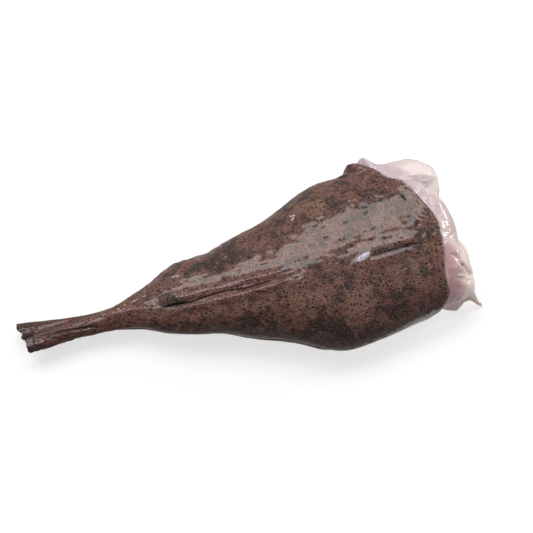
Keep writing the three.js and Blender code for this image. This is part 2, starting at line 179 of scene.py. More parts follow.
# Noise fields: size of the lumps (one number or one for each axis), and seed.
LUMPS, SMALL_LUMPS, BELLY_LUMPS = (14, 1), (5, 5), (9, 18)
STRINGS, CUT_STRINGS = ((13, 3.4, 3.4), 9), ((14, 1.9, 1.9), 10)
FOLD_BENDS, FOLD_BREAKS, WRINKLE_BENDS = (17, 12), ((30, 9, 9), 13), (20, 14)
STUMP_STRINGS, STUMP_CRUMPLE, FAR_CRUMPLES = ((7, 2.6, 2.6), 15), (2.6, 19), (3.3, 16)
BLOTCHES, MOTTLE, FLECKS, DARK_FLECKS = (17, 21), (6, 25), (2.6, 29), (3.4, 33)
SPOTS, WET_AREAS, TORN_END, RUST_AREAS = (7.5, 37), (11, 41), ((1, 1, 4.5), 43), (9, 45)
FLESH_LUMPS, FLESH_SMALL_LUMPS, LINE_BENDS, STRIPE_BENDS = (11, 51), (4, 55), (5, 57), (6, 58)
LONG_FIBRES, CROSS_FIBRES, SEAMS = ((8, 1.8, 5), 59), ((1.6, 6, 5), 61), ((15, 24, 24), 63)
CLOUDS, FLESH_FLECKS, PINK_AREAS = (12, 71), (3, 75), ((7, 9, 9), 79)

# Ridges (+) and creases (-) of the bare flesh: [from, to, height, width], places as (x, y, z).
FLESH_LINES = [
    [(390, -17, 53), (397, -28, 49), -1.5, 1.8], [(397, -28, 49), (403, -34, 36), -1.6, 1.8],
    [(390, -35, 47), (403, -39, 40), 1.3, 1.3], [(373, 45, 51), (385, 58, 41), 0.9, 1.5],
    [(379, 64, 44), (387, 62, 34), -0.9, 1.6], [(386, 48, 42), (389, 53, 36), 0.7, 4.0],
    [(384, -6, 54), (394, 2, 49), -0.8, 1.6], [(383, -50, 38), (398, -51, 33), -0.9, 1.8],
]
LINE_BEND = 0.8
# Short fibres of the second lobe.
STRIPES = {"from": (391, 13, 51), "to": (397, 9, 51), "reach": 9, "step": 2.6, "high": 0.28, "bend": 1.5}
RED_SPOT, RED_SPOT_WIDTH = [(388, -42, 46), (389, -42, 45)], 2.6
FLESH_RELIEF = {"lumps": 0.35, "small lumps": 0.12, "fibres": 0.2, "seams": -0.4, "seam width": 0.06}
FLESH_RELIEF_GROWS, CROSS_FIBRES_GROW = (0, 6), (14, 26)

# The end of the fin stump: slanting, torn, and notched between its two lobes.
FIN_END = {"at": 4, "slant": 0.26, "deep": 3, "waves": 1.3, "torn": 1.8, "torn across": 0.25}
FIN_NOTCH = {"deep": 9, "up": 3, "wide": 2.4}
FIN_END_INSETS = (0.9, 0.6, 0.35, 0.15, 0.05)

# Rows and columns of the meshes.
COLUMNS, CORE_COLUMNS = 270, 240
FIN_ROWS, EVEN_ROWS, LEANING_ROWS = 15, 204, 62
RIM_ROWS, RIM_BULGE = (0.2, 0.5, 0.8), 0.7
LINING_LEANS = (1, 0.93, 0.8, 0.6, 0.3)
LINING_ROWS = (EVEN_ROWS_END, 270, 240, 210, 180, 150, 124, 108, CAVITY_START)
CORE_ROWS = (CAVITY_START, 110, 130, 160, 190, 220, 250, 275, EVEN_ROWS_END)
CORE_LEANS = (0.2, 0.4, 0.6, 0.8, 0.9, 1)
SHOULDER_ROWS, FACE_ROWS, BONE_ROWS, SMALLEST_RING = 60, 36, 8, 0.06
FLAP_ROWS, FLAP_WALL_POINTS = 46, 22
VOXEL = 1.2  # grain of the flesh's mesh
SEAM_SHARE = 0.004  # of the skin's map, for the seam of the fin stump and for the end of the lining

# ---------------- colours, as linear light
BROWN = (0.155, 0.060, 0.040)
DARK_BROWN = (0.022, 0.009, 0.007)
PALE_BROWN = (0.265, 0.142, 0.100)
STUMP_RED = (0.125, 0.034, 0.022)
MAUVE = (0.27, 0.125, 0.115)
BELLY_GREY = (0.46, 0.42, 0.39)
NUB_BLUE = (0.72, 0.69, 0.78)
RAW_EDGE = (0.62, 0.54, 0.53)
BLACK = (0.012, 0.008, 0.008)
# Colour of the darker rims along the cuts.
DARK_CUT_RIM = (0.022, 0.022, 0.026)
CHARRED = (0.030, 0.012, 0.010)
RUST = (0.23, 0.082, 0.045)
# Painted shade low on the near flank.
NEAR_FLANK_SHADE = (0.054, 0.040, 0.038)
OLIVE = (0.22, 0.128, 0.080)
FLESH = (0.64, 0.50, 0.51)
FLESH_CREAM = (0.76, 0.64, 0.59)
FLESH_BLUE = (0.50, 0.43, 0.49)
FLESH_PINK = (0.49, 0.255, 0.275)
FLESH_TAN = (0.60, 0.45, 0.37)
# Painted light over the near lobe's outer part.
FLAP_PAINTED_LIGHT = (0.90, 0.74, 0.68)
MEMBRANE = (0.82, 0.76, 0.74)
BLOOD = (0.42, 0.12, 0.11)


# ---------------- small mathematics
def profile(points):
    """A smooth line through [x, value] points: cubic pieces whose slopes never overshoot."""
    x, y = np.array(points, float).T
    rise = np.diff(y) / np.diff(x)
    before, after = rise[:-1], rise[1:]
    same = before * after > 0
    slopes = np.zeros(len(x))
    slopes[1:-1][same] = (2 * before * after / np.where(same, before + after, 1))[same]

    def at(v):
        v = np.clip(v, x[0], x[-1])
        i = np.clip(np.searchsorted(x, v, side="right") - 1, 0, len(x) - 2)
        h = x[i + 1] - x[i]
        t = (v - x[i]) / h
        t2, t3 = t * t, t * t * t
        return (
            (2 * t3 - 3 * t2 + 1) * y[i] + (t3 - 2 * t2 + t) * h * slopes[i]
            + (3 * t2 - 2 * t3) * y[i + 1] + (t3 - t2) * h * slopes[i + 1]
        )

    return at


def round_profile(points):
    along = profile(points)
    return lambda angle: along((angle + 90) % 360 - 90)


far_flank, near_flank = profile(FAR_FLANK), profile(NEAR_FLANK)
back_height, belly_height = profile(BACK_HEIGHT), profile(BELLY_HEIGHT)
widest_height, back_lean = profile(WIDEST_HEIGHT), profile(BACK_LEAN)
fin_roll, fin_flare, waist = profile(FIN_ROLL), profile(FIN_FLARE), profile(WAIST)
skin_edge_line, flesh_edge_line = round_profile(SKIN_EDGE), round_profile(FLESH_EDGE)
flap_reach, flap_arch = profile(FLAP_REACH), profile(FLAP_ARCH)


def ease(v, a, b):
    """A smooth step from 0 at a to 1 at b."""
    t = np.clip((v - a) / (b - a), 0, 1)
    return t * t * (3 - 2 * t)


def bump(d, width):
    return np.exp(-((d / width) ** 2))


def band(v, rise, full, fade, end):
    return ease(v, rise, full) * (1 - ease(v, fade, end))


def lerp(a, b, t):
    return a + (b - a) * t


def turn(angle, origin):
    """Degrees from origin to angle, from -180 to 180."""
    return (angle - origin + 180) % 360 - 180


def side_share(angle, side):
    """1 in an area round the body, 0 outside it."""
    middle, span = side
    return band(turn(angle, middle), *span)


def sin_deg(angle):
    return np.sin(np.radians(angle))


def cos_deg(angle):
    return np.cos(np.radians(angle))


def points_of(x, y, z):
    return np.stack(np.broadcast_arrays(x, y, z), -1).astype(float)


def hashed(cell):
    """An even random number from -1 to 1 for each whole-numbered cell."""
    n = cell[..., 0] * 374761393 + cell[..., 1] * 668265263 + cell[..., 2] * 1442695041
    n = (n ^ (n >> 13)) * 1274126177
    n = n ^ (n >> 16)
    return (n & 0xFFFF) / 32767.5 - 1


def noise(points, size, seed):
    """Smooth noise, about -1 to 1, with lumps of the given size (one number or one for each axis)."""
    q = points / np.array(size) + 31.7 * seed
    cell = np.floor(q).astype(np.int64)
    f = q - cell
    f = f * f * (3 - 2 * f)
    total = 0
    for corner in np.ndindex(2, 2, 2):
        weight = np.prod(np.where(corner, f, 1 - f), axis=-1)
        total = total + weight * hashed(cell + np.array(corner))
    return total


def layered(points, size, seed, layers=3):
    """Noise with finer and lower noise on top, each layer half the size of the one before."""
    parts = [noise(points, np.array(size) / 2**k, seed + k) / 2**k for k in range(layers)]
    return sum(parts) / 1.4


# ---------------- the body's form, as in the solids
def body_point(x, angle):
    """Points of the body at distance x, in the direction angle, as (..., 3)."""
    c, s = cos_deg(angle), sin_deg(angle)
    n = np.where(s > 0, BACK_ROUNDNESS, BELLY_ROUNDNESS)
    r = (np.abs(c) ** n + np.abs(s) ** n) ** (-1 / n)
    level = widest_height(x)
    tall = np.where(s > 0, back_height(x) - level, level - belly_height(x)) + fin_flare(x)
    wide = np.where(c > 0, far_flank(x), near_flank(x))
    across = wide * c * r * (1 - waist(x) * bump(s, WAIST_SPREAD)) + back_lean(x) * np.maximum(0, s * r)
    up = tall * s * r
    y = across * cos_deg(fin_roll(x)) - up * sin_deg(fin_roll(x))
    z = across * sin_deg(fin_roll(x)) + up * cos_deg(fin_roll(x)) + level
    return points_of(x, y, np.maximum(0, z))


def outward(x, angle):
    d = body_point(x, angle + SIDE_STEP) - body_point(x, angle - SIDE_STEP)
    n = points_of(0, d[..., 2], -d[..., 1])
    return n / np.maximum(np.linalg.norm(n, axis=-1, keepdims=True), 1e-9)


def wave(x, side, high, length, across, start):
    return high * np.sin(x / length + across * side + start)


def swell(x, angle):
    s = sin_deg(angle)
    grown = ease(x, *SWELL_GROWS) * lerp(BELLY_SWELL, 1, ease(s, *SWELL_SIDE))
    return grown * (wave(x, s, *SHORT_WAVE) + wave(x, cos_deg(angle), *LONG_WAVE))


def skin_edge(angle):
    waves = sum(high * sin_deg(count * angle + start) for high, count, start in EDGE_WAVES)
    return skin_edge_line(angle) + waves


def edge_lift(x, angle):
    """How far the skin stands up near its cut edge: a roll at the far corner and a small curl."""
    back = skin_edge(angle) - x
    roll = EDGE_ROLL["high"] * bump(turn(angle, EDGE_ROLL["at"]), EDGE_ROLL["wide"])
    curl = EDGE_CURL["high"] * bump(turn(angle, EDGE_CURL["at"]), EDGE_CURL["wide"])
    return roll * (1 - ease(back, *EDGE_ROLL["back"])) + curl * bump(back, EDGE_CURL["back"])


def from_ridge(x, angle):
    """Millimetres from the back's middle line towards the far flank."""
    return body_point(x, angle)[..., 1] - body_point(x, 90 + 0 * angle)[..., 1]


def fin_lips(x, angle):
    lips = bump(np.abs(from_ridge(x, angle)) - LIPS["away"], LIPS["wide"]) * (sin_deg(angle) > 0)
    return lips * (LIPS["rear"] * band(x, *REAR_LIPS) + LIPS["front"] * band(x, *FRONT_LIPS))


def lifted(x, angle, lift, lowest=0):
    p = body_point(x, angle) + outward(x, angle) * lift[..., None]
    p[..., 2] = np.maximum(lowest, p[..., 2])
    return p


def skin_point(x, angle):
    return lifted(x, angle, swell(x, angle) + edge_lift(x, angle) + fin_lips(x, angle))


def lining_point(x, angle, gap):
    """Points of the skin's inside, or of the flesh a gap further in."""
    bed = FIN_BED["deep"] * bump(turn(angle, 90), FIN_BED["wide"])
    bed = bed * ease(x, CAVITY_START, FIN_BED["grown"])
    follow = LINING_FOLLOWS if gap else 1
    lift = swell(x, angle) + follow * edge_lift(x, angle) - SKIN - bed - gap
    return lifted(x, angle, lift, SKIN + gap)


def from_line(x, angle, line):
    """Millimetres round the body from a line that runs along it."""
    per_degree = np.linalg.norm(body_point(x, angle + 0.5) - body_point(x, angle - 0.5), axis=-1)
    return turn(angle, profile(line)(x)) * per_degree


# ---------------- the skin's relief
def slit_side(x, angle, cut):
    """How far across a cut a point lies: 0 in its middle, 1 at its rim; negative on the near side."""
    wander = sum(wide * np.sin(x / length) for wide, length in CUT_WANDER)
    return (from_ridge(x, angle) - wander) / np.maximum(THINNEST_CUT, profile(cut["half"])(x))


def edge_wrinkles(x, angle, p):
    """Thin upright wrinkles that follow the cut edge on the near side of the back."""
    back = skin_edge(angle) - x + WRINKLE_BEND * noise(p, *WRINKLE_BENDS)
    lines = sum(bump(back - at, WRINKLE_WIDTH) for at in WRINKLES_BACK)
    return lines * side_share(angle, WRINKLED_SIDE)


def nub_share(x, angle):
    across = from_ridge(x, angle)
    return bump(x - NUB["x"] - across, NUB["long"]) * bump(across, NUB["wide"]) * (sin_deg(angle) > 0)


def scrap_share(x, angle):
    """1 on the scrap of tissue, with a sharper edge than its relief has."""
    return ease(nub_share(x, angle), *NUB["edge"])


def patch_share(p, blur):
    """How much darker (+) or paler (-) the skin is in each point."""
    share = 0
    for at_x, at_angle, long, wide, strength in PATCHES:
        d = p - skin_point(np.array([at_x * 1.0]), np.array([at_angle * 1.0]))[0]
        away = np.hypot(d[..., 0] / long, np.hypot(d[..., 1], d[..., 2]) / wide)
        share = share + strength * (1 - ease(away + PATCH_RAGGED * blur, *PATCH_EDGE))
    return share


def slit_depth(x, angle):
    depth = 0
    for cut in (REAR_CUT, FRONT_CUT):
        first, last = cut["half"][0][0], cut["half"][-1][0]
        inside = (x > first) & (x < last) & (sin_deg(angle) > 0)
        share = np.clip(CUT_RIM - np.abs(slit_side(x, angle, cut)), 0, 1)
        wide = np.minimum(1, profile(cut["half"])(x) / FULL_DEPTH_HALF)
        depth = depth + inside * cut["deep"] * wide * share
    return depth


def skin_lumps(x, angle, p):
    """Lumps all over, fine strings along the trunk and coarser ones beside the rear cut."""
    lumps = RELIEF["lumps"] * layered(p, *LUMPS)
    small = RELIEF["small lumps"] * layered(p, *SMALL_LUMPS, layers=2)
    strings = RELIEF["strings"] * noise(p, *STRINGS) * ease(x, *STRINGS_GROW)
    beside_cut = bump(from_ridge(x, angle), BESIDE_CUT["wide"]) * band(x, *BESIDE_CUT["span"])
    return lumps + small + strings + RELIEF["cut strings"] * noise(p, *CUT_STRINGS) * beside_cut


def edge_folds(x, angle, p):
    """Broken folds and thin wrinkles that run along the cut edge."""
    back = skin_edge(angle) - x
    waves = np.sin(back / EDGE_FOLDS["step"] + EDGE_FOLDS["bend"] * noise(p, *FOLD_BENDS))
    shown = ease(noise(p, *FOLD_BREAKS), *EDGE_FOLDS["broken"]) * band(back, *EDGE_FOLDS["back"])
    folds = RELIEF["edge folds"] * waves * shown * side_share(angle, FOLDED_SIDE)
    return folds + RELIEF["wrinkles"] * edge_wrinkles(x, angle, p)


def groove_share(x, angle):
    return bump(from_line(x, angle, STUMP_GROOVE), GROOVE_WIDTH) * band(x, *GROOVE_SPAN)


def flank_fold(x, angle):
    """A crease low on the near flank, and the roll of skin below it."""
    below = from_line(x, angle, FLANK_FOLD)
    roll = RELIEF["fold roll"] * bump(below - FOLD_ROLL_BELOW, FOLD_ROLL_WIDTH)
    return (roll + RELIEF["fold crease"] * bump(below, FOLD_CREASE_WIDTH)) * band(x, *FOLD_SPAN)


def stump_relief(x, angle, p):
    """The stump's groove and raised ridge, its strings and its crumpled end."""
    groove = RELIEF["groove"] * groove_share(x, angle)
    ridge = bump(from_line(x, angle, RIDGE_HIGHLIGHT_LINE), STREAK_WIDTH) * band(x, *STREAK_SPAN)
    strings = noise(p, *STUMP_STRINGS) * (1 - ease(x, *STUMP_STRINGS_END))
    crumple = noise(p, *STUMP_CRUMPLE) * (1 - ease(x, *STUMP_CRUMPLE_END))
    rough = RELIEF["stump strings"] * strings + RELIEF["stump crumple"] * crumple
    return groove + RELIEF["ridge"] * ridge + rough


def far_side_relief(x, angle, p):
    """Crumpled skin on the far side of the taper, and a fold that leads to the far corner."""
    crumpled = bump(turn(angle, FAR_CRUMPLE["at"]), FAR_CRUMPLE["wide"]) * band(x, *FAR_CRUMPLE["span"])
    fold = bump(turn(angle, FAR_FOLD["at"]), FAR_FOLD["wide"]) * ease(x, *FAR_FOLD["grows"])
    fold = fold * ease(skin_edge(angle) - x, 0, FAR_FOLD["to edge"])
    return RELIEF["far crumple"] * noise(p, *FAR_CRUMPLES) * crumpled + RELIEF["far fold"] * fold


def skin_relief(x, angle, p):
    """Millimetres added to the smooth skin: folds, wrinkles, grooves and lumps."""
    upper = ease(sin_deg(angle), *UPPER_SIDE)
    fine = skin_lumps(x, angle, p) + edge_folds(x, angle, p) + flank_fold(x, angle)
    fine = fine + stump_relief(x, angle, p) + far_side_relief(x, angle, p)
    fine = fine + NUB["high"] * nub_share(x, angle)
    belly = RELIEF["belly lumps"] * noise(p, *BELLY_LUMPS)
    return fine * upper + belly * (1 - upper) - slit_depth(x, angle)


# ---------------- the skin's colour
def mixed(colour, other, share):
    """The colour with a share of another one over it."""
    share = np.clip(share, 0, 1)[..., None]
    return colour * (1 - share) + np.array(other) * share


def below_fold(x, angle, p):
    """Millimetres below the flank fold's line, made ragged."""
    return from_line(x, angle, FLANK_FOLD) + FOLD_RAGGED * noise(p, *FLECKS)


def belly_share(x, angle, p):
    """1 on the pale skin of the belly, 0 on the brown skin above it."""
    near_edge = ease(below_fold(x, angle, p), -0.3, 1.2)
    return np.where(angle > 90, near_edge, ease(-angle, 2, 14)) * ease(x, 70, 120)


def bare_edge(angle):
    """How pale the cut edge looks: most where it curls up at the far shoulder."""
    return lerp(LEAST_BARE_EDGE, 1, side_share(angle, CURLED_SIDE))


def mark_share(x, angle, mark, ragged=0):
    """1 in a mark beside the back's middle line, 0 away from it."""
    across = from_ridge(x, angle) - mark["across"] + ragged
    return bump(across, mark["wide"]) * band(x, *mark["span"]) * (sin_deg(angle) > 0)


def mottled_brown(angle, p):
    """Brown skin with pale, rusty, olive and dark areas, and painted shade that darkens and greys it low
    on the near flank.
    """
    blot, mottle, fleck = layered(p, *BLOTCHES), layered(p, *MOTTLE), noise(p, *FLECKS)
    patches = patch_share(p, mottle + 0.5 * fleck)
    colour = np.zeros(p.shape) + np.array(BROWN)
    colour = mixed(colour, PALE_BROWN, 0.13 + 0.65 * mottle + 0.4 * blot + 0.55 * fleck - patches)
    colour = mixed(colour, RUST, 0.5 * ease(layered(p, *RUST_AREAS), 0, 0.7))
    colour = mixed(colour, OLIVE, -1.3 * patches)
    dark = 1.4 * (noise(p, *DARK_FLECKS) - 0.3) + 1.2 * (0.05 - blot)
    colour = mixed(colour, DARK_BROWN, dark + 1.4 * patches)
    colour = mixed(colour, DARK_BROWN, 0.75 * ease(noise(p, *SPOTS) + 0.35 * fleck, 0.42, 0.62))
    # Painted shade: darker and greyer low on the near flank.
    return mixed(colour, NEAR_FLANK_SHADE, 0.6 * (angle > 90) * ease(sin_deg(angle), 0.85, 0.35))


def stump_tints(colour, x, angle, p):
    """Reddish and dark towards the fin end, rusty at the neck."""
    dark_mottle = ease(0.3 + layered(p, *MOTTLE), 0, 0.6)
    colour = mixed(colour, STUMP_RED, 0.75 * (1 - ease(x, 60, 112)))
    colour = mixed(colour, DARK_BROWN, 0.5 * (1 - ease(x, 20, 105)) * dark_mottle)
    return mixed(colour, RUST, 0.5 * bump(x - 97, 15) * ease(sin_deg(angle), 0, 0.5))


def mauve_tints(colour, x, angle, p):
    """The rear cut's fresh far lip, the bruised skin on its near side and a painted highlight along the
    neck's ridge.
    """
    bruised = mark_share(x, angle, BRUISE) * ease(0.5 + layered(p, *MOTTLE), 0, 0.8)
    ridge_highlight = bump(from_line(x, angle, RIDGE_HIGHLIGHT_LINE), STREAK_WIDTH) * band(x, *STREAK_HIGHLIGHT_SPAN)
    colour = mixed(colour, MAUVE, 0.8 * mark_share(x, angle, FRESH_LIP))
    colour = mixed(colour, MAUVE, 0.45 * bruised)
    # Painted highlight along the neck's ridge.
    return mixed(colour, MAUVE, 0.6 * ridge_highlight)


def belly_tints(colour, x, angle, p):
    """The pale belly, and painted shade along the fold's crease above it."""
    pale = lerp(0.4, 0.95, ease(x, 250, 310)) + 0.4 * layered(p, *MOTTLE)
    # Painted shade in the crease of the flank fold.
    shade = bump(below_fold(x, angle, p) + 0.6, 0.9) * band(x, *FOLD_SPAN)
    colour = mixed(colour, BELLY_GREY, pale * belly_share(x, angle, p))
    return mixed(colour, DARK_BROWN, 0.5 * shade)


def cut_tints(colour, x, angle, p):
    """The scrap of tissue, the charred fin end, the cuts painted black as shade where they are deep, and
    darker rims along them.
    """
    fleck = noise(p, *FLECKS)
    clear = 1 - scrap_share(x, angle)
    dark_rims = mark_share(x, angle, REAR_DARK_RIM, fleck) + mark_share(x, angle, FRONT_DARK_RIM, fleck)
    colour = mixed(colour, NUB_BLUE, 3.2 * nub_share(x, angle) - 0.6)
    colour = mixed(colour, CHARRED, 0.9 * (1 - ease(x + 3 * fleck, 9, 22)))
    # Painted shade: the cuts turn black with their depth.
    colour = mixed(colour, BLACK, ease(slit_depth(x, angle), *SLIT_BLACK) * clear)
    return mixed(colour, DARK_CUT_RIM, 0.85 * dark_rims * clear)


def skin_colour(x, angle, p):
    colour = mottled_brown(angle, p)
    colour = stump_tints(colour, x, angle, p)
    # Painted highlight along the crests of the wrinkles beside the cut edge.
    colour = mixed(colour, PALE_BROWN, 0.5 * edge_wrinkles(x, angle, p))
    colour = mauve_tints(colour, x, angle, p)
    colour = belly_tints(colour, x, angle, p)
    # Painted shade in the stump's groove.
    colour = mixed(colour, DARK_BROWN, 0.6 * groove_share(x, angle))
    colour = cut_tints(colour, x, angle, p)
    return mixed(colour, RAW_EDGE, bare_edge(angle) * bump(skin_edge(angle) - x, RAW_RIM))


# ---------------- meshes
def column_angles(count):
    """Directions from -90 degrees round the body, closest together along the back."""
    fine = np.linspace(-90, 270, 3601)
    density = 0.35 + 0.65 * ease(sin_deg(fine), -0.6, 0.1) + 1.8 * bump(turn(fine, 90), 9)
    so_far = np.concatenate([[0], np.cumsum((density[1:] + density[:-1]) / 2)])
    return np.interp(np.arange(count) / count, so_far / so_far[-1], fine)


def fin_end_rows(angles):
    """The ragged end of the fin stump, parted in two lobes, from its closed seam to the even rows."""
    height = (back_height(0) - widest_height(0)) * sin_deg(angles)
    notch = FIN_NOTCH["deep"] * bump(height - FIN_NOTCH["up"], FIN_NOTCH["wide"])
    torn = layered(points_of(0, FIN_END["torn across"] * cos_deg(angles), height), *TORN_END)
    ragged = FIN_END["waves"] * sin_deg(3 * angles + 20) + FIN_END["torn"] * torn
    flat = skin_point(np.zeros_like(angles), angles)
    start = FIN_END["at"] - FIN_END["slant"] * flat[:, 1] + ragged + notch
    roll = fin_roll(0)
    middle = points_of(start, -height * sin_deg(roll), widest_height(0) + height * cos_deg(roll))
    rows = []
    for inset in FIN_END_INSETS:
        row = flat.copy()
        row[:, 0] = start + FIN_END["deep"] * inset
        rows.append(lerp(row, middle + [FIN_END["deep"] * inset, 0, 0], inset))
    for share in np.linspace(0, 1, FIN_ROWS)[:-1]:
        row = skin_point(FIN_ROWS_END * share + 0 * angles, angles)
        row[:, 0] = lerp(start, FIN_ROWS_END, share)
        rows.append(row)
    return rows


def skin_grid(angles):
    """Rows of points over the outside, round the cut edge and back along the inside."""
    edge = skin_edge(angles)
    rows = fin_end_rows(angles)
    ends = len(rows)
    even = [x + 0 * angles for x in np.linspace(FIN_ROWS_END, EVEN_ROWS_END, EVEN_ROWS)]
    leaning = [lerp(EVEN_ROWS_END, edge, t) for t in np.linspace(0, 1, LEANING_ROWS)[1:]]
    rows += [skin_point(x, angles) for x in even + leaning]
    outside = len(rows)
    outer, inner = skin_point(edge, angles), lining_point(edge, angles, 0)
    for t in RIM_ROWS:
        row = lerp(outer, inner, t)
        row[:, 0] += RIM_BULGE * np.sin(np.pi * t)
        rows.append(row)
    inside = [lerp(EVEN_ROWS_END, edge, t) for t in LINING_LEANS]
    inside += [x + 0 * angles for x in LINING_ROWS]
    rows += [lining_point(x, angles, 0) for x in inside]
    return np.array(rows), ends, outside


def normals_of(points):
    """Unit normals of a grid of points, all on the same side of it."""
    along = np.gradient(points, axis=0)
    around = np.roll(points, -1, axis=1) - np.roll(points, 1, axis=1)
    n = np.cross(around, along)
    return n / np.maximum(np.linalg.norm(n, axis=-1, keepdims=True), 1e-9)


def tube_faces(rows, columns):
    index = np.arange(rows * columns).reshape(rows, columns)
    after = np.roll(index, -1, axis=1)
    quads = np.stack([index[:-1], after[:-1], after[1:], index[1:]], -1)
    return quads.reshape(-1, 4)


def to_row_frame(points):
    """Millimetres from the fin end to metres in the frame."""
    return (points + OFFSET) / 1000


def new_mesh(name, points, faces):
    mesh = bpy.data.meshes.new(name)
    mesh.from_pydata(to_row_frame(points).tolist(), [], [list(map(int, f)) for f in faces])
    mesh.update()
    mesh.polygons.foreach_set("use_smooth", np.ones(len(mesh.polygons), bool))
    return mesh


def paint(mesh, name, values):
    """Stores one number or one colour for each point of the mesh."""
    if values.ndim == 1:
        mesh.attributes.new(name, "FLOAT", "POINT").data.foreach_set("value", values.astype(np.float32))
        return
    colours = np.concatenate([values, np.ones((len(values), 1))], -1)
    layer = mesh.attributes.new(name, "FLOAT_COLOR", "POINT")
    layer.data.foreach_set("color", colours.astype(np.float32).ravel())


def add_object(name, data):
    thing = bpy.data.objects.new(name, data)
    bpy.context.scene.collection.objects.link(thing)
    return thing


def place(name, mesh, material, node):
    piece = add_object(name, mesh)
    mesh.materials.append(material)
    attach(piece, "root")
    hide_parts(node)


def map_skin(mesh, rows):
    """Lays the skin flat: along the tail in u, round it in v."""
    points = np.array([v.co for v in mesh.vertices])[: rows * COLUMNS].reshape(rows, COLUMNS, 3)
    steps = np.linalg.norm(np.diff(points, axis=0), axis=-1).mean(1)
    u = np.concatenate([[0], np.cumsum(steps)])
    u = SEAM_SHARE + (1 - 2 * SEAM_SHARE) * u / u[-1]
    sides = [(i / COLUMNS, (i + 1) / COLUMNS) for i in range(COLUMNS)]
    half = COLUMNS // 2
    corners = []
    for a, b in zip(u[:-1], u[1:]):
        for v, w in sides:
            corners += [(a, v), (a, w), (b, w), (b, v)]
    for v, w in sides[1 : half - 1]:
        corners += [(0, v), (0, w), (SEAM_SHARE, w), (SEAM_SHARE, v)]
    for v, w in (sides[0], sides[half - 1]):
        corners += [(0, v), (0, w), (SEAM_SHARE, w)]
    for v, w in sides:
        corners += [(1 - SEAM_SHARE, v), (1 - SEAM_SHARE, w), (1, (v + w) / 2)]
    layer = mesh.uv_layers.new(name="OFBake")
    layer.data.foreach_set("uv", np.array(corners, np.float32).ravel())


def with_relief(smooth, relief, ends):
    """The smooth outside moved outwards by the relief, which grows over the first rows."""
    grown = np.minimum(1, np.arange(len(smooth)) / ends)[:, None]
    up = normals_of(smooth)
    side = np.sign((up * (smooth - smooth.mean(1, keepdims=True))).sum(-1).mean())
    return smooth + up * side * (relief * grown)[..., None]


def skin_faces(rows):
    """The tube's faces, the seam that closes the stump and the fan that closes the lining."""
    faces = list(tube_faces(rows, COLUMNS))
    half = COLUMNS // 2
    faces += [[i + 1, i, COLUMNS - i, COLUMNS - i - 1] for i in range(1, half - 1)]
    faces += [[1, 0, COLUMNS - 1], [half, half - 1, half + 1]]
    last = (rows - 1) * COLUMNS
    middle = rows * COLUMNS
    return faces + [[last + i, last + (i + 1) % COLUMNS, middle] for i in range(COLUMNS)]


def paint_skin(mesh, angles, smooth, shape):
    """Colour, share of dark grain and wetness: worked out on the outside, plain on the lining."""
    outside = len(smooth)
    x, angle = smooth[..., 0], np.broadcast_to(angles, smooth.shape[:2])
    colour = np.zeros(shape) + np.array(RAW_EDGE) * (0.5 + 0.5 * bare_edge(angles))[..., None]
    colour[:outside] = skin_colour(x, angle, smooth)
    paint(mesh, "tone", np.concatenate([colour.reshape(-1, 3), [RAW_EDGE]]))
    brown = np.zeros(shape[:2])
    brown[:outside] = lerp(1, BELLY_GRAIN, belly_share(x, angle, smooth)) * (1 - scrap_share(x, angle))
    paint(mesh, "brown", np.append(brown.ravel(), 0.0))
    wetness = np.zeros(shape[:2])
    wetness[:outside] = 0.5 + 0.5 * layered(smooth, *WET_AREAS)
    paint(mesh, "wetness", np.append(wetness.ravel(), 0.0))


def make_skin():
    angles = column_angles(COLUMNS)
    points, ends, outside = skin_grid(angles)
    smooth = points[:outside].copy()
    relief = skin_relief(smooth[..., 0], np.broadcast_to(angles, smooth.shape[:2]), smooth)
    points[:outside] = with_relief(smooth, relief, ends)
    points[..., 2] = np.maximum(0, points[..., 2])
    flat = np.concatenate([points.reshape(-1, 3), points[-1].mean(0, keepdims=True)])
    mesh = new_mesh("monkfish_skin", flat, skin_faces(len(points)))
    map_skin(mesh, len(points))
    paint_skin(mesh, angles, smooth, points.shape)
    place("monkfish_skin", mesh, skin_material(), "skin")


# ---------------- the flesh
def crease(angle):
    return sum(deep * bump(turn(angle, at), wide) for at, deep, wide in CREASES)


def shoulder_point(u, angle):
    """The bare shoulder end: u runs from the skin's edge (0) to the cut face (1)."""
    start = skin_edge(angle)
    end = flesh_edge_line(angle) - CREASE_PULL * crease(angle)
    x = lerp(start, end, u)
    past = x - start
    out = ease(past, *BARE_GROWS)
    knob = KNOB["high"] * bump(turn(angle, KNOB["at"]), KNOB["round"]) * bump(x - KNOB["x"], KNOB["long"])
    t = np.clip((x - end) / END_ROUNDING["over"] + 1, 0, 1)
    upright = lerp(END_ROUNDING["least"], 1, sin_deg(angle) ** 2)
    drop = END_ROUNDING["drop"] * (1 - np.sqrt(1 - END_ROUNDING["full"] * t * t)) * upright
    lift = swell(x, angle) + LINING_FOLLOWS * edge_lift(start, angle) * bump(past, LIFT_FADES)
    lift = lift + knob * ease(past, *KNOB["grows"]) - (1 - out) * (SKIN + GAP)
    return lifted(x, angle, lift - drop - crease(angle) * out, lerp(SKIN + GAP, 0, out))


def bone_point(share, angle):
    side = body_point(BACKBONE["x"] + 0 * angle, angle) - [0, BACKBONE["y"], BACKBONE["z"]]
    way = points_of(0, side[..., 1], side[..., 2])
    way = way / np.linalg.norm(way, axis=-1, keepdims=True)
    x = BACKBONE["x"] - BACKBONE["hollow"] * (1 - share**2)
    return points_of(x, BACKBONE["y"], BACKBONE["z"]) + way * BACKBONE["r"] * share


def face_point(share, angle):
    """The cut face, from the backbone (0) to its rim (1)."""
    rim, bone = shoulder_point(1, angle), bone_point(1, angle)
    p = lerp(bone, rim, share)
    hollow = bump(turn(angle, DEEP_CREASE["at"]), DEEP_CREASE["wide"])
    swollen = FACE_SWELL * np.sin(np.pi * share) * (1 - hollow)
    p[..., 0] = lerp(bone[..., 0], rim[..., 0], ease(share, 0, lerp(0.5, 1, hollow))) + swollen
    return p


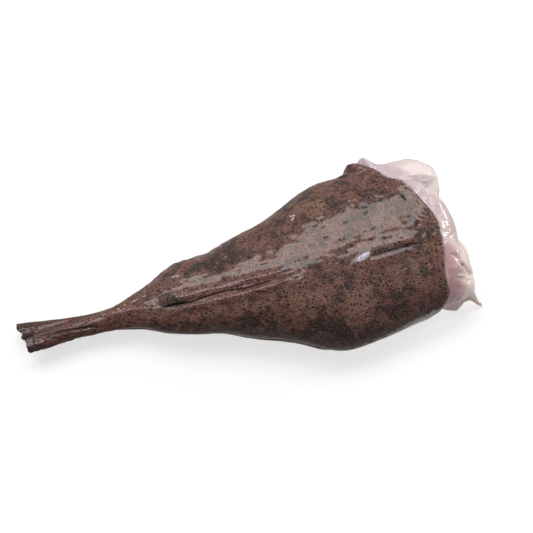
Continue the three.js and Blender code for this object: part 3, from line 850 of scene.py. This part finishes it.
def core_rows(angles):
    inside = [x + GAP + 0 * angles for x in CORE_ROWS]
    inside += [lerp(EVEN_ROWS_END, skin_edge(angles), t) for t in CORE_LEANS]
    rows = [lining_point(x, angles, GAP) for x in inside]
    rows += [shoulder_point(u, angles) for u in np.linspace(0, 1, SHOULDER_ROWS)[1:]]
    rows += [face_point(t, angles) for t in np.linspace(1, 0, FACE_ROWS)[1:]]
    rows += [bone_point(t, angles) for t in np.linspace(1, SMALLEST_RING, BONE_ROWS)[1:]]
    return np.array(rows)


def flap_row(x):
    """A section of the belly wall: down its outside from the muscle to its hem, and back up inside."""
    past = ease(x, FLAP["narrow"], FLAP["to"])
    hem, arch, thick = -flap_reach(x), flap_arch(x), FLAP["thick"]
    top_y = lerp(FLAP["innermost"], hem + 3, past)
    top_z = lerp(FLAP["highest"], thick + 1, np.sqrt(past))

    def wall(t, inset):
        y = lerp(top_y, hem, t) - FLAP["bulge"] * np.sin(np.pi * t) * (1 - past) + 0.8 * inset
        z = lerp(top_z, thick, t**0.9) + arch * t * t - 0.6 * inset
        return points_of(x, y, np.maximum(0, z))

    outer = wall(np.linspace(0, 0.95, FLAP_WALL_POINTS), 0)
    foot = np.array([[x, hem, arch + thick * 0.5], [x, hem + 1.2, arch]])
    return np.concatenate([outer, foot, wall(np.linspace(0.96, 0, FLAP_WALL_POINTS), thick)])


def closed_tube(rows):
    count, columns = rows.shape[:2]
    ends = np.array([rows[0].mean(0), rows[-1].mean(0)])
    first, last = count * columns, (count - 1) * columns
    faces = list(tube_faces(count, columns))
    for i in range(columns):
        j = (i + 1) % columns
        faces += [[j, i, first], [last + i, last + j, first + 1]]
    return np.concatenate([rows.reshape(-1, 3), ends]), faces


def joined_mesh(name, parts):
    points, faces, used = [], [], 0
    for part_points, part_faces in parts:
        points.append(part_points)
        faces += [[int(v) + used for v in face] for face in part_faces]
        used += len(part_points)
    return new_mesh(name, np.concatenate(points), faces)


def fused(mesh):
    """One even skin of small faces over meshes that run into each other."""
    rough = add_object("rough", mesh)
    even = rough.modifiers.new("even", "REMESH")
    even.mode = "VOXEL"
    even.voxel_size = VOXEL / 1000
    soft = rough.modifiers.new("soft", "SMOOTH")
    soft.factor = 0.5
    soft.iterations = 3
    made = bpy.data.meshes.new_from_object(rough.evaluated_get(bpy.context.evaluated_depsgraph_get()))
    bpy.data.objects.remove(rough)
    return made


def body_angle(p):
    """The direction, as used for the body, in which a point lies."""
    x, y, z = p[..., 0], p[..., 1], p[..., 2]
    level = widest_height(x)
    tall = np.where(z > level, back_height(x) - level, level - belly_height(x))
    wide = np.where(y > 0, far_flank(x), near_flank(x))
    return np.degrees(np.arctan2((z - level) / tall, y / wide)) % 360


def from_segment(p, start, end):
    start, end = np.array(start, float), np.array(end, float)
    t = np.clip((p - start) @ (end - start) / ((end - start) @ (end - start)), 0, 1)
    return np.linalg.norm(p - start - t[..., None] * (end - start), axis=-1)


def flesh_lines(p):
    """Heights of the ridges and creases, drawn a little unevenly."""
    q = p + LINE_BEND * noise(p, *LINE_BENDS)[..., None]
    return sum(high * bump(from_segment(q, start, end), wide) for start, end, high, wide in FLESH_LINES)


def stripes(p):
    near = bump(from_segment(p, STRIPES["from"], STRIPES["to"]), STRIPES["reach"])
    bend = STRIPES["bend"] * noise(p, *STRIPE_BENDS)
    return near * np.sin(2 * np.pi * p[:, 1] / STRIPES["step"] + bend)


def flesh_relief(p, past):
    """Millimetres added to the smooth flesh; past is the distance from the skin's edge."""
    lumps = FLESH_RELIEF["lumps"] * layered(p, *FLESH_LUMPS)
    small = FLESH_RELIEF["small lumps"] * layered(p, *FLESH_SMALL_LUMPS, layers=2)
    across = noise(p, *CROSS_FIBRES) * ease(past, *CROSS_FIBRES_GROW)
    fibres = FLESH_RELIEF["fibres"] * (noise(p, *LONG_FIBRES) + across)
    seams = FLESH_RELIEF["seams"] * bump(np.abs(noise(p, *SEAMS)), FLESH_RELIEF["seam width"])
    fine = lumps + small + fibres + seams + flesh_lines(p) + STRIPES["high"] * stripes(p)
    return ease(past, *FLESH_RELIEF_GROWS) * fine


def lobe_tints(p, angle, past):
    """The lobes' colours: bluish beside the far skin, partly their own tone and partly painted shade in
    the hollow there; pink beside the near skin; cream further out; and painted light over the near lobe's
    outer part.
    """
    cloud = layered(p, *CLOUDS)
    far, near, third = (side_share(angle, side) for side in (FAR_SIDE, NEAR_SIDE, THIRD_LOBE))
    colour = np.zeros(p.shape) + np.array(FLESH)
    colour = mixed(colour, FLESH_CREAM, ease(past, 10, 24) * (0.35 + 0.5 * cloud + 0.4 * third))
    colour = mixed(colour, FLESH_TAN, 0.45 * third * ease(past, 8, 18))
    # Bluish beside the far skin: partly the flesh's own tone, partly painted shade in the hollow beside
    # the skin.
    colour = mixed(colour, FLESH_BLUE, 0.85 * bump(past, 14) * far + 0.25 * (cloud - 0.2))
    colour = mixed(colour, FLESH_PINK, 0.95 * bump(past, 10 + 3 * cloud) * near)
    # Painted light over the near lobe's outer part, which faces away from the lamps.
    return mixed(colour, FLAP_PAINTED_LIGHT, 0.9 * ease(past, 14, 22) * near)


def membrane_tints(colour, p, angle, past):
    """Creases painted pinker and darker as shade, ridges painted paler as partly white membrane and
    partly highlight, pale seams, a small red spot, and painted light on the first lobe's outer part.
    """
    # Painted light on the first lobe's outer part, which faces away from the lamps.
    bright = ease(past, 14, 22) * bump(turn(angle, 38), 14)
    seams = bump(np.abs(noise(p, *SEAMS)), 0.05)
    # Painted shade in the creases, and paler ridges: partly their white membrane, partly painted
    # highlight.
    colour = mixed(colour, FLESH_PINK, 0.35 * -flesh_lines(p))
    colour = mixed(colour, MEMBRANE, 0.5 * flesh_lines(p))
    colour = mixed(colour, BLOOD, 0.6 * bump(from_segment(p, *RED_SPOT), RED_SPOT_WIDTH))
    colour = mixed(colour, MEMBRANE, 0.95 * bright)
    colour = mixed(colour, FLESH_PINK, 0.4 * (noise(p, *PINK_AREAS) - 0.45))
    # Painted shade in the creases between the lobes.
    colour = mixed(colour, FLESH_PINK, 0.25 * ease(crease(angle), 2, 7) * ease(past, 5, 15))
    return mixed(colour, MEMBRANE, 0.45 * seams + 0.15 * noise(p, *FLESH_FLECKS))


def flap_tints(colour, p):
    """The flap, tan towards its tip, and the pale end of the backbone."""
    x, y, z = p[:, 0], p[:, 1], p[:, 2]
    flap = ease(-y, 36, 48) * ease(x, 372, 384) * (1 - ease(z, 14, 26))
    bone = bump(np.hypot(y - BACKBONE["y"], z - BACKBONE["z"]), BACKBONE["r"]) * (x > 376)
    colour = mixed(colour, FLESH_TAN, 0.3 * flap + 0.5 * flap * ease(x, 400, 409))
    return mixed(colour, MEMBRANE, 0.7 * bone)


def make_flesh():
    angles = -90 + 360 * np.arange(CORE_COLUMNS) / CORE_COLUMNS
    sections = np.linspace(FLAP["from"], FLAP["to"], FLAP_ROWS)
    core, flap = closed_tube(core_rows(angles)), closed_tube(np.array([flap_row(x) for x in sections]))
    mesh = fused(joined_mesh("rough_flesh", [core, flap]))
    mesh.name = "monkfish_flesh"
    places, normals = np.zeros(len(mesh.vertices) * 3), np.zeros(len(mesh.vertices) * 3)
    mesh.vertices.foreach_get("co", places)
    mesh.vertex_normals.foreach_get("vector", normals)
    p = places.reshape(-1, 3) * 1000 - OFFSET
    angle = body_angle(p)
    past = p[:, 0] - skin_edge(angle)
    moved = p + normals.reshape(-1, 3) * flesh_relief(p, past)[:, None]
    moved[:, 2] = np.maximum(0, moved[:, 2])
    mesh.vertices.foreach_set("co", to_row_frame(moved).ravel())
    mesh.polygons.foreach_set("use_smooth", np.ones(len(mesh.polygons), bool))
    paint(mesh, "tone", flap_tints(membrane_tints(lobe_tints(p, angle, past), p, angle, past), p))
    mesh.update()
    place("monkfish_flesh", mesh, flesh_material(), "flesh")


# ---------------- materials
SKIN_SURFACE = {"Specular IOR Level": 0.3, "Coat Weight": 0.7, "Coat Roughness": 0.10}
FLESH_SURFACE = {
    "Subsurface Weight": 0.35, "Subsurface Radius": (0.0025, 0.0016, 0.0014),
    "Coat Weight": 0.6, "Coat Roughness": 0.08,
}
FLOOR_SURFACE = {
    "Base Color": (0.47, 0.47, 0.47, 1), "Roughness": 0.9, "Specular IOR Level": 0.1,
    "Emission Color": (1, 1, 1, 1), "Emission Strength": 0.64,
}


def shader(name, settings):
    """A material with these settings, its node tree and its surface node."""
    material = bpy.data.materials.new(name)
    material.use_nodes = True
    surface = material.node_tree.nodes["Principled BSDF"]
    for key, value in settings.items():
        surface.inputs[key].default_value = value
    return material, material.node_tree, surface


def add(tree, kind, inputs=None, **settings):
    node = tree.nodes.new(kind)
    for key, value in settings.items():
        setattr(node, key, value)
    for key, value in (inputs or {}).items():
        if isinstance(value, bpy.types.NodeSocket):
            tree.links.new(value, node.inputs[key])
        else:
            node.inputs[key].default_value = value
    return node


def math_node(tree, operation, a, b, c=0.0):
    return add(tree, "ShaderNodeMath", {0: a, 1: b, 2: c}, operation=operation).outputs[0]


def between(tree, value, low, high, out_low=0.0, out_high=1.0):
    """A smooth step from out_low, where the value is low, to out_high, where it is high."""
    inputs = {"Value": value, "From Min": low, "From Max": high, "To Min": out_low, "To Max": out_high}
    return add(tree, "ShaderNodeMapRange", inputs, interpolation_type="SMOOTHSTEP").outputs["Result"]


def tinted(tree, colour, other, share):
    node = add(tree, "ShaderNodeMix", {"Factor": share}, data_type="RGBA")
    tree.links.new(colour, node.inputs[6])
    node.inputs[7].default_value = (*other, 1)
    return node.outputs[2]


def noise_node(tree, where, size_mm, detail=2.0):
    inputs = {"Vector": where, "Scale": 1000 / size_mm, "Detail": detail}
    return add(tree, "ShaderNodeTexNoise", inputs).outputs["Fac"]


def pores_nodes(tree, where, size_mm, radius):
    """Dark spots and pits of pores about size_mm apart, both 1 in a pore's middle and 0 between pores."""
    cells = add(tree, "ShaderNodeTexVoronoi", {"Vector": where, "Scale": 1000 / size_mm})
    away = cells.outputs["Distance"]
    return between(tree, away, radius, 0.5 * radius), between(tree, away, radius, 0.0)


def attribute(tree, name, output):
    return add(tree, "ShaderNodeAttribute", attribute_name=name).outputs[output]


def link_bump(tree, surface, height, strength, distance):
    relief = add(tree, "ShaderNodeBump", {"Height": height, "Strength": strength, "Distance": distance})
    tree.links.new(relief.outputs["Normal"], surface.inputs["Normal"])


def skin_material():
    material, tree, surface = shader("wet_mottled_skin", SKIN_SURFACE)
    where = add(tree, "ShaderNodeTexCoord").outputs["Object"]
    tone, wet = attribute(tree, "tone", "Color"), attribute(tree, "wetness", "Fac")
    brown = attribute(tree, "brown", "Fac")
    grain = noise_node(tree, where, 1.3, 3)
    pores, pits = pores_nodes(tree, where, 3.3, 0.38)
    spots, deep_pits = pores_nodes(tree, where, 6.5, 0.26)
    some = math_node(tree, "MULTIPLY", between(tree, noise_node(tree, where, 14), 0.32, 0.55), brown)
    dark_pores = math_node(tree, "MULTIPLY", math_node(tree, "MAXIMUM", pores, spots), some)
    grains = math_node(tree, "MULTIPLY", between(tree, grain, 0.57, 0.40, 0.0, 0.6), brown)
    colour = tinted(tree, tone, DARK_BROWN, grains)
    colour = tinted(tree, colour, PALE_BROWN, between(tree, grain, 0.53, 0.68, 0.0, 0.5))
    colour = tinted(tree, colour, BLACK, math_node(tree, "MULTIPLY", dark_pores, 0.95))
    tree.links.new(colour, surface.inputs["Base Color"])
    tree.links.new(between(tree, wet, 0.2, 0.8, 0.55, 0.35), surface.inputs["Roughness"])
    height = math_node(tree, "MULTIPLY_ADD", math_node(tree, "MAXIMUM", pits, deep_pits), -1.1, grain)
    link_bump(tree, surface, height, 0.8, 0.0014)
    return material


def flesh_material():
    material, tree, surface = shader("wet_raw_flesh", FLESH_SURFACE)
    where = add(tree, "ShaderNodeTexCoord").outputs["Object"]
    grain = noise_node(tree, where, 1.4, 3)
    pink = between(tree, grain, 0.5, 0.75, 0.0, 0.12)
    colour = tinted(tree, attribute(tree, "tone", "Color"), FLESH_PINK, pink)
    tree.links.new(colour, surface.inputs["Base Color"])
    roughness = between(tree, noise_node(tree, where, 6), 0.35, 0.65, 0.2, 0.38)
    tree.links.new(roughness, surface.inputs["Roughness"])
    height = math_node(tree, "MULTIPLY_ADD", noise_node(tree, where, 3.6), 1.6, grain)
    link_bump(tree, surface, height, 0.35, 0.0010)
    return material


# ---------------- floor, light and camera
VIEW_ELEVATION, VIEW_AZIMUTH = 76.0, -12.5  # degrees
VIEW_DISTANCE = 1350.0
VIEW_CENTRE = np.array([230.4, 20.5, 0.0])
LENS, SENSOR = 100.0, 36.0
# From here on in metres.
FLOOR_LEVEL = -0.0002  # just below the belly, so that the two faces don't fight
FLOOR_REACH = 4.0
LIT_POINT = (0, 0, 0.02)
WHITE, WARM_WHITE = (1, 1, 1), (1, 0.93, 0.92)
LAMPS = [  # name, place, size, power, colour
    ("far_box", (-0.1, 0.8, 1.32), (1.6, 0.71), 17, WARM_WHITE),
    ("right_box", (1.5, 0.45, 0.62), (0.3, 0.3), 7, WHITE),
    ("spark", (-0.75, 1.75, 0.6), (0.1, 0.1), 1.1, WHITE),
]
SKY_RIGHT = 0.9  # how much the way to the right brightens the sky, against 1 for the way behind
SKY_STRENGTH = (-0.7, 0.5, 0.14, 0.44)


def direction(azimuth, elevation):
    level = cos_deg(elevation)
    return np.array([sin_deg(azimuth) * level, -cos_deg(azimuth) * level, sin_deg(elevation)])


def aim(thing, place_m, target_m):
    thing.location = Vector(place_m)
    thing.rotation_euler = (Vector(target_m) - Vector(place_m)).to_track_quat("-Z", "Y").to_euler()


def make_camera():
    data = bpy.data.cameras.new("camera")
    data.lens = LENS
    data.sensor_width = SENSOR
    camera = add_object("camera", data)
    eye = VIEW_CENTRE + direction(VIEW_AZIMUTH, VIEW_ELEVATION) * VIEW_DISTANCE
    aim(camera, to_row_frame(eye), to_row_frame(VIEW_CENTRE))
    bpy.context.scene.camera = camera


def soft_box(name, place_m, size, power, colour):
    data = bpy.data.lights.new(name, "AREA")
    data.color = colour
    data.shape = "RECTANGLE"
    data.size, data.size_y = size
    data.energy = power
    aim(add_object(name, data), place_m, LIT_POINT)


def make_floor():
    mesh = bpy.data.meshes.new("floor")
    sides = [(-1, -1), (1, -1), (1, 1), (-1, 1)]
    corners = [(x * FLOOR_REACH, y * FLOOR_REACH, FLOOR_LEVEL) for x, y in sides]
    mesh.from_pydata(corners, [], [(0, 1, 2, 3)])
    mesh.materials.append(shader("pale_floor", FLOOR_SURFACE)[0])
    floor = add_object("floor", mesh)
    floor.visible_glossy = False


def make_sky():
    """A white sky, brightest behind and to the right."""
    world = bpy.data.worlds.new("studio")
    bpy.context.scene.world = world
    world.use_nodes = True
    tree = world.node_tree
    sky = tree.nodes["Background"]
    sky.inputs["Color"].default_value = (*WHITE, 1)
    way = add(tree, "ShaderNodeTexCoord").outputs["Generated"]
    sides = add(tree, "ShaderNodeSeparateXYZ", {"Vector": way}).outputs
    right = math_node(tree, "MAXIMUM", sides["X"], 0.0)
    bright = math_node(tree, "MULTIPLY_ADD", right, SKY_RIGHT, sides["Y"])
    tree.links.new(between(tree, bright, *SKY_STRENGTH), sky.inputs["Strength"])


def light_the_stage():
    make_sky()
    for lamp in LAMPS:
        soft_box(*lamp)
    bpy.context.scene.view_settings.view_transform = "Standard"


def frame_offset():
    """Millimetres from the fin end's origin to the frame's, from the solids' front tip and near side."""
    around, along = np.meshgrid(np.linspace(-90, 270, 361), np.linspace(200, 320, 61))
    near_side = skin_point(along, around)[..., 1].min()
    skin_low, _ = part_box("skin")
    _, flesh_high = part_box("flesh")
    return np.array([flesh_high.x * 1000 - FLAP["to"], skin_low.y * 1000 - near_side, 0.0])


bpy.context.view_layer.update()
OFFSET = frame_offset()

make_skin()
make_flesh()
make_floor()
light_the_stage()
make_camera()
